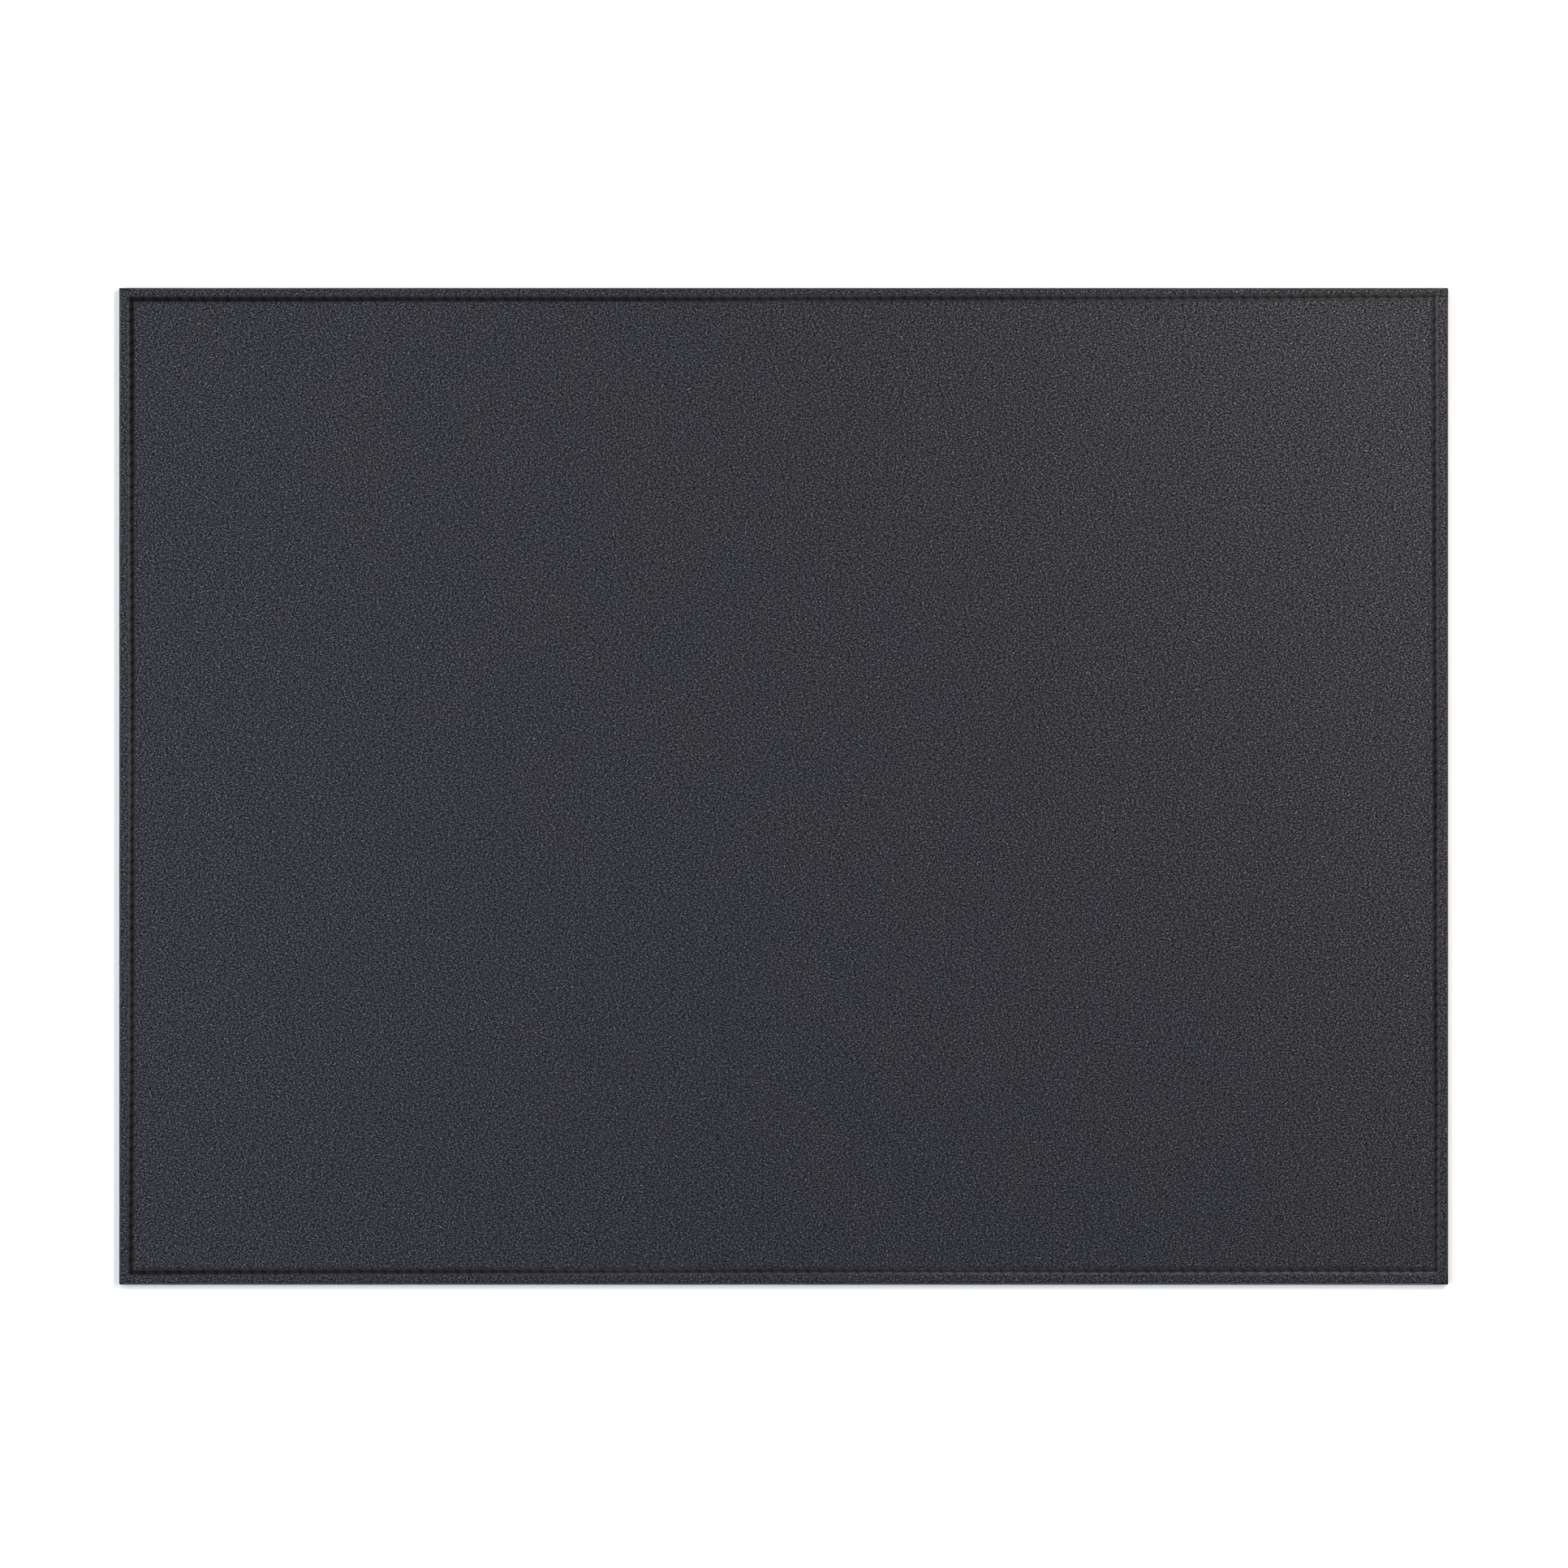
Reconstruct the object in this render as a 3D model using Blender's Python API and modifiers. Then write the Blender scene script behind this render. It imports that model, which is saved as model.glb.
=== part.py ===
"""Desk mat: a leather top and a felt underside laminated over foam and a stiffener board.

Four sheets are cut to one outline and glued up. A lockstitch seam runs round them a few
millimetres in from the edge, sunk in a pressed channel, and a thin coat seals the cut edge.
Units are metres, +Z is up, +X runs along the long side and +Y towards the back of the desk.
The origin is the middle of the underside, where the mat rests.
"""

import math

import bmesh
import bpy
from mathutils import Matrix

# Overall size
MAT_LENGTH = 0.6096
MAT_DEPTH = 0.4572

# Layers, from the desk up
BACKING_THICKNESS = 0.0010
BOARD_THICKNESS = 0.0008
FOAM_THICKNESS = 0.0012
COVER_THICKNESS = 0.0010
FIT_GAP = 0.0003  # the glue line between layers, and the clearance round threads and coat

# Sealed edge
EDGE_COAT_THICKNESS = 0.0004
EDGE_COAT_STEP = 0.00015  # the coat stops this far short of the top and of the underside
EDGE_COAT_ROUNDING = 0.00012
SHEET_EDGE_ROUNDING = 0.00010

# Seam, measured from the mat's edge to the line that the needle follows
SEAM_MARGIN_SIDE = 0.0055
SEAM_MARGIN_BACK = 0.0048
SEAM_MARGIN_FRONT = 0.0064
SEAM_CORNER_RADIUS = 0.0006
NEEDLE_THREAD_DIAMETER = 0.00045
NEEDLE_THREAD_SINK = 0.00010  # from the top of the mat down to the top of the thread
BOBBIN_THREAD_DIAMETER = 0.00030
BOBBIN_THREAD_SINK = 0.00005  # from the underside up to the bottom of the thread
CHANNEL_WIDTH = 0.0034
DENT_WIDTH = 0.0026

# Fineness of the faceted shapes
CHANNEL_STEPS = 8
CORNER_STEPS = 4
EDGE_SEGMENTS = 2
THREAD_BEVEL_RESOLUTION = 2
SHARP_ANGLE = math.radians(40)
BEVEL_ANGLE = math.radians(60)

# Where the layers lie, and the outline that they share
BACKING_TOP = BACKING_THICKNESS
BOARD_BASE = BACKING_TOP + FIT_GAP
BOARD_TOP = BOARD_BASE + BOARD_THICKNESS
FOAM_BASE = BOARD_TOP + FIT_GAP
FOAM_TOP = FOAM_BASE + FOAM_THICKNESS
COVER_BASE = FOAM_TOP + FIT_GAP
COVER_TOP = COVER_BASE + COVER_THICKNESS
SHEET_INSET = EDGE_COAT_THICKNESS + FIT_GAP
SHEET_LENGTH = MAT_LENGTH - 2 * SHEET_INSET
SHEET_DEPTH = MAT_DEPTH - 2 * SHEET_INSET

# The seam's rectangle, and how deep the threads sit
SEAM_X = MAT_LENGTH / 2 - SEAM_MARGIN_SIDE
SEAM_Y_BACK = MAT_DEPTH / 2 - SEAM_MARGIN_BACK
SEAM_Y_FRONT = SEAM_MARGIN_FRONT - MAT_DEPTH / 2
CHANNEL_DEPTH = NEEDLE_THREAD_SINK + NEEDLE_THREAD_DIAMETER + FIT_GAP
DENT_DEPTH = BOBBIN_THREAD_SINK + BOBBIN_THREAD_DIAMETER + FIT_GAP


def clear_scene():
    for obj in list(bpy.data.objects):
        bpy.data.objects.remove(obj, do_unlink=True)


def make_collection(name):
    collection = bpy.data.collections.new(name)
    bpy.context.scene.collection.children.link(collection)
    return collection


def make_material(name, colour, roughness):
    material = bpy.data.materials.new(name)
    material.use_nodes = True
    shader = material.node_tree.nodes["Principled BSDF"]
    shader.inputs["Base Color"].default_value = (*colour, 1.0)
    shader.inputs["Roughness"].default_value = roughness
    shader.inputs["Metallic"].default_value = 0.0
    return material


def add_mesh_part(name, bm, material, collection):
    mesh = bpy.data.meshes.new(name)
    bm.to_mesh(mesh)
    bm.free()
    mesh.shade_smooth()
    mesh.set_sharp_from_angle(angle=SHARP_ANGLE)
    mesh.materials.append(material)
    part = bpy.data.objects.new(name, mesh)
    collection.objects.link(part)
    return part


def add_bevel(part, width):
    bevel = part.modifiers.new("edge_rounding", "BEVEL")
    bevel.width = width
    bevel.segments = EDGE_SEGMENTS
    bevel.limit_method = "ANGLE"
    bevel.angle_limit = BEVEL_ANGLE


def box(length, depth, base, top):
    """A bmesh box, centred on Z, from base up to top."""
    bm = bmesh.new()
    size = Matrix.Diagonal((length, depth, top - base, 1.0))
    place = Matrix.Translation((0.0, 0.0, (base + top) / 2))
    bmesh.ops.create_cube(bm, size=1.0, matrix=place @ size)
    return bm


def face_towards(bm, direction):
    """The box face whose normal points up (1) or down (-1)."""
    return max(bm.faces, key=lambda face: face.normal.z * direction)


def press_seam(bm, face, width, depth):
    """Presses a rounded groove into a flat face along the seam. Depth is measured downwards."""
    surface = face.calc_center_median().z
    bmesh.ops.inset_region(bm, faces=[face], thickness=width, use_even_offset=True)
    for vert in face.verts:
        vert.co.x = math.copysign(SEAM_X + width / 2, vert.co.x)
        vert.co.y = SEAM_Y_BACK + width / 2 if vert.co.y > 0 else SEAM_Y_FRONT - width / 2
    for step in range(1, CHANNEL_STEPS + 1):
        bmesh.ops.inset_region(bm, faces=[face], thickness=width / CHANNEL_STEPS, use_even_offset=True)
        turn = 2 * math.pi * step / CHANNEL_STEPS
        for vert in face.verts:
            vert.co.z = surface - depth * (1 - math.cos(turn)) / 2


def seam_path(height):
    """Points round the seam's rectangle with its corners turned on a small arc."""
    corners = (
        (SEAM_X, SEAM_Y_BACK, 0),
        (-SEAM_X, SEAM_Y_BACK, 1),
        (-SEAM_X, SEAM_Y_FRONT, 2),
        (SEAM_X, SEAM_Y_FRONT, 3),
    )
    points = []
    for corner_x, corner_y, quarter in corners:
        centre_x = corner_x - math.copysign(SEAM_CORNER_RADIUS, corner_x)
        centre_y = corner_y - math.copysign(SEAM_CORNER_RADIUS, corner_y)
        for step in range(CORNER_STEPS + 1):
            angle = math.pi / 2 * (quarter + step / CORNER_STEPS)
            x = centre_x + SEAM_CORNER_RADIUS * math.cos(angle)
            y = centre_y + SEAM_CORNER_RADIUS * math.sin(angle)
            points.append((x, y, height, 1.0))
    return points


def make_backing_sheet(collection):
    """Felt underside, dented upwards where the bobbin thread is pulled in."""
    felt = make_material("felt_backing", (0.022, 0.022, 0.024), 0.95)
    bm = box(SHEET_LENGTH, SHEET_DEPTH, 0.0, BACKING_TOP)
    press_seam(bm, face_towards(bm, -1), DENT_WIDTH, -DENT_DEPTH)
    part = add_mesh_part("backing_sheet", bm, felt, collection)
    add_bevel(part, SHEET_EDGE_ROUNDING)


def make_stiffener_board(collection):
    """Fibreboard that keeps the mat flat."""
    board = make_material("fibreboard", (0.110, 0.085, 0.060), 0.85)
    bm = box(SHEET_LENGTH, SHEET_DEPTH, BOARD_BASE, BOARD_TOP)
    part = add_mesh_part("stiffener_board", bm, board, collection)
    add_bevel(part, SHEET_EDGE_ROUNDING)


def make_foam_interlining(collection):
    """Thin foam under the leather, squeezed down along the seam."""
    foam = make_material("foam_interlining", (0.060, 0.060, 0.062), 0.9)
    bm = box(SHEET_LENGTH, SHEET_DEPTH, FOAM_BASE, FOAM_TOP)
    press_seam(bm, face_towards(bm, 1), CHANNEL_WIDTH, CHANNEL_DEPTH)
    part = add_mesh_part("foam_interlining", bm, foam, collection)
    add_bevel(part, SHEET_EDGE_ROUNDING)


def make_top_cover(collection):
    """Leather of even thickness: both of its faces follow the seam channel."""
    leather = make_material("black_leather", (0.040, 0.042, 0.049), 0.5)
    bm = box(SHEET_LENGTH, SHEET_DEPTH, COVER_BASE, COVER_TOP)
    press_seam(bm, face_towards(bm, 1), CHANNEL_WIDTH, CHANNEL_DEPTH)
    press_seam(bm, face_towards(bm, -1), CHANNEL_WIDTH, CHANNEL_DEPTH)
    part = add_mesh_part("top_cover", bm, leather, collection)
    add_bevel(part, SHEET_EDGE_ROUNDING)


def make_thread(name, diameter, height, material, collection):
    """One thread of the lockstitch, as a closed round loop along the seam."""
    curve = bpy.data.curves.new(name, "CURVE")
    curve.dimensions = "3D"
    curve.bevel_depth = diameter / 2
    curve.bevel_resolution = THREAD_BEVEL_RESOLUTION
    curve.twist_mode = "Z_UP"
    path = seam_path(height)
    spline = curve.splines.new("POLY")
    spline.points.add(len(path) - 1)
    for point, place in zip(spline.points, path):
        point.co = place
    spline.use_cyclic_u = True
    curve.materials.append(material)
    collection.objects.link(bpy.data.objects.new(name, curve))


def make_threads(collection):
    """The needle thread lies in the leather's channel, the bobbin thread in the felt's dent."""
    thread = make_material("polyester_thread", (0.012, 0.011, 0.011), 0.6)
    needle_height = COVER_TOP - NEEDLE_THREAD_SINK - NEEDLE_THREAD_DIAMETER / 2
    make_thread("needle_thread", NEEDLE_THREAD_DIAMETER, needle_height, thread, collection)
    bobbin_height = BOBBIN_THREAD_SINK + BOBBIN_THREAD_DIAMETER / 2
    make_thread("bobbin_thread", BOBBIN_THREAD_DIAMETER, bobbin_height, thread, collection)


def make_edge_coat(collection):
    """A thin band round the cut edges of all four sheets, open at the top and the bottom."""
    coat = make_material("edge_coat", (0.020, 0.020, 0.022), 0.4)
    bm = box(MAT_LENGTH, MAT_DEPTH, EDGE_COAT_STEP, COVER_TOP - EDGE_COAT_STEP)
    ends = [face_towards(bm, 1), face_towards(bm, -1)]
    bmesh.ops.delete(bm, geom=ends, context="FACES_ONLY")
    part = add_mesh_part("edge_coat", bm, coat, collection)
    wall = part.modifiers.new("coat_thickness", "SOLIDIFY")
    wall.thickness = EDGE_COAT_THICKNESS
    wall.offset = -1.0
    wall.use_even_offset = True
    add_bevel(part, EDGE_COAT_ROUNDING)


def main():
    clear_scene()
    desk_mat = make_collection("desk_mat")
    make_backing_sheet(desk_mat)
    make_stiffener_board(desk_mat)
    make_foam_interlining(desk_mat)
    make_top_cover(desk_mat)
    make_threads(desk_mat)
    make_edge_coat(desk_mat)


main()
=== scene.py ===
import math
import random

import bmesh
import bpy
from mathutils import Matrix, Vector, noise


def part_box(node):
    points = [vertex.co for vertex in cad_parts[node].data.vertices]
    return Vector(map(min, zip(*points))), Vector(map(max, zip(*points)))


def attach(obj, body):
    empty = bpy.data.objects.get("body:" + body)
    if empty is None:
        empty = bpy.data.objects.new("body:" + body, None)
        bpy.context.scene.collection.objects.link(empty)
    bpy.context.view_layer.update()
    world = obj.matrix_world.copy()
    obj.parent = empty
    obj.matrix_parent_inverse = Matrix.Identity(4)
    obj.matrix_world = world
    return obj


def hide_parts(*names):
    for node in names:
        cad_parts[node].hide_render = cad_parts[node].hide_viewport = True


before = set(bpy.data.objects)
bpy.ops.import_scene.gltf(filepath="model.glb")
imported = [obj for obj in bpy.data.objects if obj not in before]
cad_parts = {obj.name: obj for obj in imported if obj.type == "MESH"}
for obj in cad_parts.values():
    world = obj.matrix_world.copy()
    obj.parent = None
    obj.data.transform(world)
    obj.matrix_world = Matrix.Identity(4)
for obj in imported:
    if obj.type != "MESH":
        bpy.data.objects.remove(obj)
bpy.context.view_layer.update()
mm = 0.001
cutTolerance = 1e-7
print("desk mat: frame loaded")


def smoothStep(value, low, high):
    share = min(1.0, max(0.0, (value - low) / (high - low)))
    return share * share * (3 - 2 * share)


def bell(value, width):
    return math.exp(-((value / width) ** 2))


def everything(bm):
    return bm.verts[:] + bm.edges[:] + bm.faces[:]


def keepPiece(bm, name, material):
    mesh = bpy.data.meshes.new(name)
    bm.to_mesh(mesh)
    bm.free()
    mesh.materials.append(material)
    mesh.shade_smooth()
    piece = bpy.data.objects.new(name, mesh)
    bpy.context.scene.collection.objects.link(piece)
    return piece


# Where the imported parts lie.
coverLow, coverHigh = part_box("top_cover")
foamLow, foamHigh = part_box("foam_interlining")
feltLow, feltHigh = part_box("backing_sheet")
coatLow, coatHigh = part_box("edge_coat")
needleLow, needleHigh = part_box("needle_thread")
bobbinLow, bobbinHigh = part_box("bobbin_thread")

needleRadius = (needleHigh.z - needleLow.z) / 2
bobbinRadius = (bobbinHigh.z - bobbinLow.z) / 2
seamLeft = needleLow.x + needleRadius
seamRight = needleHigh.x - needleRadius
seamFront = needleLow.y + needleRadius
seamBack = needleHigh.y - needleRadius

seam = {
    "longStitches": 108,  # along the front and the back
    "shortStitches": 88,  # along each side
    "channelFlat": 0.35 * mm,  # half the level bottom of the channel
    "channelHalfWidth": 1.7 * mm,
    "channelDepth": 0.85 * mm,
    "betweenHoles": 0.80,  # how deep the channel is between two holes, as a share
    "slitLength": 1.00 * mm,
    "slitWidth": 0.42 * mm,
    "slitSlant": math.radians(-32),
    "slitDepth": 0.45 * mm,
    "shoulderHeight": 0.06 * mm,
    "shoulderPlace": 2.3 * mm,
    "shoulderWidth": 0.6 * mm,
    # how far the sewn line strays at the start, middle and end of a side, in mm towards +X or +Y
    "stray": {
        "left": (-0.16, 0.50, 0.07),
        "right": (-0.03, -0.50, -1.00),
        "front": (-0.80, -0.20, 0.10),
        "back": (-0.36, -0.20, 0.84),
    },
    # small ripples on top: size, how fast they run along a side, and their shift from side to side
    "strayRipples": ((0.06, 17, 1), (0.03, 61, 2)),
    # how tightly the stitches are pulled down at the start, middle and end of a side; the same shares paint
    # the seam, with painted shade where tight and painted light where slack
    "pull": {
        "left": (0.80, 0.55, 1.00),
        "right": (0.30, 0.58, 0.08),
        "front": (0.80, 0.33, 0.30),
        "back": (1.00, 0.64, 0.08),
    },
    "pullRipple": (0.10, 23, 3),  # the same three facts, for the pull
    "sideShift": {"left": 4, "right": 5, "front": 5, "back": 4},
    "slackDepth": 0.75,  # the channel's depth where the stitches are slack, as a share
    "strayReach": 4.0 * mm,
}
longPitch = (seamRight - seamLeft) / seam["longStitches"]
shortPitch = (seamBack - seamFront) / seam["shortStitches"]


def alongSide(values, share):
    start, middle, end = values
    bow = (middle - (start + end) / 2) * math.sin(math.pi * share)
    return start + (end - start) * share + bow


def rippleAt(ripple, side, share):
    size, turns, shift = ripple
    return size * math.sin(turns * share + shift * seam["sideShift"][side])


def strayAt(side, share):
    ripples = sum(rippleAt(ripple, side, share) for ripple in seam["strayRipples"])
    return (alongSide(seam["stray"][side], share) + ripples) * mm


def alongShares(x, y):
    # how far along the long and the short sides, from 0 at the left or the front to 1
    return (min(1.0, max(0.0, (x - seamLeft) / (seamRight - seamLeft))),
            min(1.0, max(0.0, (y - seamFront) / (seamBack - seamFront))))


def pullAt(x, y):
    # how tight the nearest stitches are, from 0 to 1
    alongX, alongY = alongShares(x, y)
    if max(seamLeft - x, x - seamRight) > max(seamFront - y, y - seamBack):
        side, share = ("left" if x < 0 else "right"), alongY
    else:
        side, share = ("front" if y < 0 else "back"), alongX
    ripple = rippleAt(seam["pullRipple"], side, share) * math.sin(math.pi * share)
    return min(1.0, max(0.0, alongSide(seam["pull"][side], share) + ripple))


def strayed(x, y):
    # the sewn line as a person guides it: nearly straight, and it drifts a little
    reach = seam["strayReach"]
    alongX, alongY = alongShares(x, y)
    moveX = strayAt("left", alongY) * (1 - smoothStep(abs(x - seamLeft), 0, reach))
    moveX += strayAt("right", alongY) * (1 - smoothStep(abs(x - seamRight), 0, reach))
    moveY = strayAt("front", alongX) * (1 - smoothStep(abs(y - seamFront), 0, reach))
    moveY += strayAt("back", alongX) * (1 - smoothStep(abs(y - seamBack), 0, reach))
    return x + moveX, y + moveY


def nearestHole(value, start, pitch, count):
    index = min(count, max(0, round((value - start) / pitch)))
    return value - (start + index * pitch)


def seamPlace(x, y):
    # distance from the sewn line (negative inside it), then the offset from the nearest hole
    # along the line and across it
    outX = max(seamLeft - x, x - seamRight)
    outY = max(seamFront - y, y - seamBack)
    distance = math.hypot(outX, outY) if min(outX, outY) > 0 else max(outX, outY)
    if outX > outY:
        lineX = seamLeft if x < 0 else seamRight
        return distance, nearestHole(y, seamFront, shortPitch, seam["shortStitches"]), lineX - x
    lineY = seamFront if y < 0 else seamBack
    return distance, nearestHole(x, seamLeft, longPitch, seam["longStitches"]), y - lineY


def channelShare(distance):
    return 1 - smoothStep(abs(distance), seam["channelFlat"], seam["channelHalfWidth"])


def slitShare(along, across):
    turn = seam["slitSlant"]
    lengthwise = along * math.cos(turn) + across * math.sin(turn)
    sideways = across * math.cos(turn) - along * math.sin(turn)
    return bell(lengthwise, seam["slitLength"]) * bell(sideways, seam["slitWidth"])


# Shader groups that more than one material uses.

def addNode(tree, kind, **settings):
    node = tree.nodes.new(kind)
    for key, value in settings.items():
        setattr(node, key, value)
    return node


def setInputs(node, **values):
    for key, value in values.items():
        node.inputs[key.replace("_", " ")].default_value = value
    return node


def workOut(tree, operation, first, second):
    node = addNode(tree, "ShaderNodeMath", operation=operation)
    for socket, value in zip(node.inputs, (first, second)):
        if isinstance(value, (int, float)):
            socket.default_value = value
        else:
            tree.links.new(value, socket)
    return node.outputs["Value"]


def spread(tree, value, low, high, toLow, toHigh):
    node = addNode(tree, "ShaderNodeMapRange", interpolation_type="SMOOTHSTEP")
    setInputs(node, From_Min=low, From_Max=high, To_Min=toLow, To_Max=toHigh)
    tree.links.new(value, node.inputs["Value"])
    return node.outputs["Result"]


def ramp(tree, value, low, high, toLow=0.0, toHigh=1.0):
    node = addNode(tree, "ShaderNodeMapRange", interpolation_type="LINEAR")
    setInputs(node, From_Min=low, From_Max=high, To_Min=toLow, To_Max=toHigh)
    tree.links.new(value, node.inputs["Value"])
    return node.outputs["Result"]


def blendColours(tree, share, first, second):
    # a Mix node's colour sockets are inputs 6 and 7 and output 2
    node = addNode(tree, "ShaderNodeMix", data_type="RGBA")
    tree.links.new(share, node.inputs["Factor"])
    for socket, value in ((node.inputs[6], first), (node.inputs[7], second)):
        if isinstance(value, tuple):
            socket.default_value = (*value, 1)
        else:
            tree.links.new(value, socket)
    return node.outputs[2]


def newGroup(name, inputs, outputs):
    tree = bpy.data.node_groups.new(name, "ShaderNodeTree")
    for label, kind, value in inputs:
        socket = tree.interface.new_socket(name=label, in_out="INPUT", socket_type="NodeSocket" + kind)
        if value is not None:
            socket.default_value = value
    for label, kind in outputs:
        tree.interface.new_socket(name=label, in_out="OUTPUT", socket_type="NodeSocket" + kind)
    return tree, tree.nodes.new("NodeGroupInput").outputs, tree.nodes.new("NodeGroupOutput").inputs


def scaledPlace(tree, vector, spacing, stretch):
    # the vector counted in pattern steps, and longer along X by stretch
    steps = addNode(tree, "ShaderNodeVectorMath", operation="SCALE")
    tree.links.new(vector, steps.inputs[0])
    tree.links.new(workOut(tree, "DIVIDE", 1.0, spacing), steps.inputs["Scale"])
    squeeze = addNode(tree, "ShaderNodeVectorMath", operation="DIVIDE")
    sides = addNode(tree, "ShaderNodeCombineXYZ")
    setInputs(sides, Y=1.0, Z=1.0)
    tree.links.new(stretch, sides.inputs["X"])
    tree.links.new(steps.outputs["Vector"], squeeze.inputs[0])
    tree.links.new(sides.outputs["Vector"], squeeze.inputs[1])
    return squeeze.outputs["Vector"]


grainShape = {
    "wobbleScale": 0.45,
    "wobbleReach": 0.8,
    "ripples": ((21, 1.75), (-34, 1.85)),  # turn in degrees, and scale
    "heightRange": (0.52, 1.48),  # the two ripples together, at a crease and at the top of a ridge
}


def makeGrainGroup():
    # fine embossed grain: two crossed ripples that join into short worm-like ridges
    tree, given, out = newGroup(
        "hideGrain",
        [("Vector", "Vector", None), ("Spacing", "Float", 0.001), ("Stretch", "Float", 1.0),
         ("Sharpness", "Float", 1.6)],
        [("Height", "Float"), ("Tip", "Float")],
    )
    place = scaledPlace(tree, given["Vector"], given["Spacing"], given["Stretch"])
    wobble = addNode(tree, "ShaderNodeTexNoise", noise_dimensions="2D")
    setInputs(wobble, Scale=grainShape["wobbleScale"], Detail=0.0)
    tree.links.new(place, wobble.inputs["Vector"])
    shift = addNode(tree, "ShaderNodeVectorMath", operation="MULTIPLY_ADD")
    shift.inputs[1].default_value = (grainShape["wobbleReach"], grainShape["wobbleReach"], 0.0)
    tree.links.new(wobble.outputs["Color"], shift.inputs[0])
    tree.links.new(place, shift.inputs[2])
    ripples = []
    for turn, scale in grainShape["ripples"]:
        turned = addNode(tree, "ShaderNodeMapping")
        turned.inputs["Rotation"].default_value = (0, 0, math.radians(turn))
        turned.inputs["Scale"].default_value = (scale, scale, 1)
        tree.links.new(shift.outputs["Vector"], turned.inputs["Vector"])
        ripple = addNode(tree, "ShaderNodeTexNoise", noise_dimensions="2D")
        setInputs(ripple, Scale=1.0, Detail=0.0)
        tree.links.new(turned.outputs["Vector"], ripple.inputs["Vector"])
        ripples.append(ripple.outputs["Fac"])
    height = ramp(tree, workOut(tree, "ADD", *ripples), *grainShape["heightRange"])
    tree.links.new(height, out["Height"])
    tree.links.new(workOut(tree, "POWER", height, given["Sharpness"]), out["Tip"])
    return tree


fleckShape = {"detail": 2.0, "roughness": 0.5, "heightRange": (0.28, 0.72), "creaseShadeRange": (0.10, 0.50)}


def makeFleckGroup():
    # uneven solid matter seen from any side: brushed paint, foam cells, paper fibre; its crease output marks
    # the low parts, where painted shade goes
    tree, given, out = newGroup(
        "solidFlecks",
        [("Vector", "Vector", None), ("Spacing", "Float", 0.001), ("Stretch", "Float", 1.0)],
        [("Height", "Float"), ("CreaseShade", "Float")],
    )
    place = scaledPlace(tree, given["Vector"], given["Spacing"], given["Stretch"])
    lumps = addNode(tree, "ShaderNodeTexNoise")
    setInputs(lumps, Scale=1.0, Detail=fleckShape["detail"], Roughness=fleckShape["roughness"])
    tree.links.new(place, lumps.inputs["Vector"])
    height = spread(tree, lumps.outputs["Fac"], *fleckShape["heightRange"], 0.0, 1.0)
    tree.links.new(height, out["Height"])
    tree.links.new(spread(tree, height, *fleckShape["creaseShadeRange"], 1.0, 0.0), out["CreaseShade"])
    return tree


mottleShape = {"detail": 4.0, "roughness": 0.6, "cloudRange": (0.30, 0.70)}


def makeMottleGroup():
    # soft clouds of two tones, as dye and handling leave them
    tree, given, out = newGroup(
        "softMottle",
        [("Vector", "Vector", None), ("Size", "Float", 0.05), ("First", "Color", None),
         ("Second", "Color", None)],
        [("Color", "Color"), ("Cloud", "Float")],
    )
    steps = addNode(tree, "ShaderNodeVectorMath", operation="SCALE")
    tree.links.new(given["Vector"], steps.inputs[0])
    tree.links.new(workOut(tree, "DIVIDE", 1.0, given["Size"]), steps.inputs["Scale"])
    cloud = addNode(tree, "ShaderNodeTexNoise")
    setInputs(cloud, Scale=1.0, Detail=mottleShape["detail"], Roughness=mottleShape["roughness"])
    tree.links.new(steps.outputs["Vector"], cloud.inputs["Vector"])
    share = spread(tree, cloud.outputs["Fac"], *mottleShape["cloudRange"], 0.0, 1.0)
    tree.links.new(blendColours(tree, share, given["First"], given["Second"]), out["Color"])
    tree.links.new(share, out["Cloud"])
    return tree


def makeSpeckGroup():
    # scattered small specks: lint on the leather, loose fibre on the felt
    tree, given, out = newGroup(
        "looseSpecks",
        [("Vector", "Vector", None), ("Spacing", "Float", 0.02), ("Radius", "Float", 0.03)],
        [("Speck", "Float")],
    )
    steps = addNode(tree, "ShaderNodeVectorMath", operation="SCALE")
    tree.links.new(given["Vector"], steps.inputs[0])
    tree.links.new(workOut(tree, "DIVIDE", 1.0, given["Spacing"]), steps.inputs["Scale"])
    cells = setInputs(addNode(tree, "ShaderNodeTexVoronoi", feature="F1"), Scale=1.0)
    tree.links.new(steps.outputs["Vector"], cells.inputs["Vector"])
    tree.links.new(workOut(tree, "LESS_THAN", cells.outputs["Distance"], given["Radius"]), out["Speck"])
    return tree


grainGroup = makeGrainGroup()
fleckGroup = makeFleckGroup()
mottleGroup = makeMottleGroup()
speckGroup = makeSpeckGroup()


def placeGroup(tree, group, vector, **values):
    node = addNode(tree, "ShaderNodeGroup", node_tree=group)
    for key, value in values.items():
        node.inputs[key].default_value = (*value, 1) if isinstance(value, tuple) else value
    tree.links.new(vector, node.inputs["Vector"])
    return node.outputs


def newMaterial(name, **finish):
    material = bpy.data.materials.new(name)
    material.use_nodes = True
    tree = material.node_tree
    shader = tree.nodes["Principled BSDF"]
    setInputs(shader, **finish)
    place = addNode(tree, "ShaderNodeTexCoord").outputs["Object"]
    return material, tree, shader.inputs, place


def addBump(tree, height, distance, inputs):
    bump = setInputs(addNode(tree, "ShaderNodeBump"), Strength=1.0, Distance=distance)
    tree.links.new(height, bump.inputs["Height"])
    tree.links.new(bump.outputs["Normal"], inputs["Normal"])


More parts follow.
